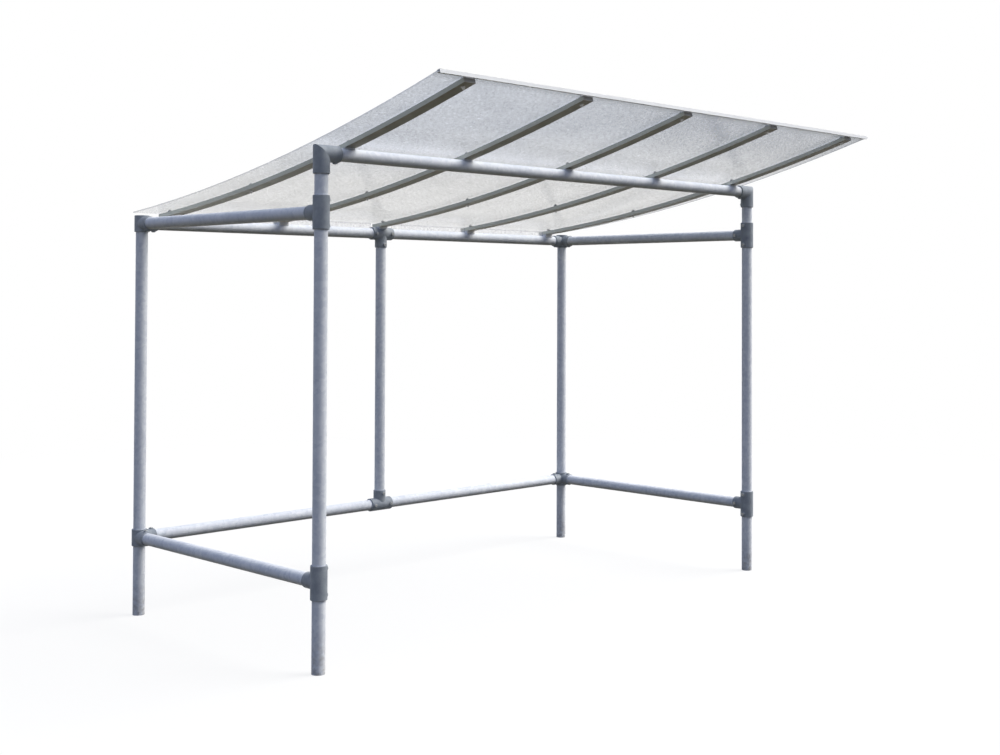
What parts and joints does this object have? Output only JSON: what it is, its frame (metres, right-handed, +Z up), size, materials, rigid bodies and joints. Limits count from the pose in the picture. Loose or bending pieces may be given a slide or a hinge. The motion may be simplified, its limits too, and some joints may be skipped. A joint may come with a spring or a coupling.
{
  "type": "bike shelter",
  "caption": "Open-fronted bike shelter of steel tube and cast clamp fittings, with a clear roof sheet on curved battens that sweeps up and out over the front.",
  "frame": {"origin": "middle of the whole shelter at ground level", "axes": "+X to the right along the length seen from the open front, +Y towards the rear rails, +Z up"},
  "size_m": [2.56, 1.914, 2.0277],
  "materials": {
    "tube": "hot dip galvanised, dull with a faint spangle",
    "cast_fitting": "galvanised casting, matt and slightly rough",
    "batten": "satin mill finish",
    "clear_sheet": "clear, lightly frosted and speckled",
    "edge_trim": "bright satin"
  },
  "bodies": {
    "root": {"front_edge_trim": "edge_trim", "front_left_elbow": "cast_fitting", "front_left_lower_tee": "cast_fitting", "front_left_post": "tube", "front_left_upper_tee": "cast_fitting", "front_right_elbow": "cast_fitting", "front_right_lower_tee": "cast_fitting", "front_right_post": "tube", "front_right_upper_tee": "cast_fitting", "front_top_rail": "tube", "left_low_rail": "tube", "left_top_rail": "tube", "middle_lower_tee": "cast_fitting", "middle_upper_tee": "cast_fitting", "rear_left_lower_corner": "cast_fitting", "rear_left_post": "tube", "rear_left_top_corner": "cast_fitting", "rear_low_rail": "tube", "rear_middle_post": "tube", "rear_right_lower_corner": "cast_fitting", "rear_right_post": "tube", "rear_right_top_corner": "cast_fitting", "rear_top_rail": "tube", "right_low_rail": "tube", "right_top_rail": "tube", "roof_batten_1": "batten", "roof_batten_2": "batten", "roof_batten_3": "batten", "roof_batten_4": "batten", "roof_batten_5": "batten", "roof_sheet": "clear_sheet"}
  },
  "joints": []
}
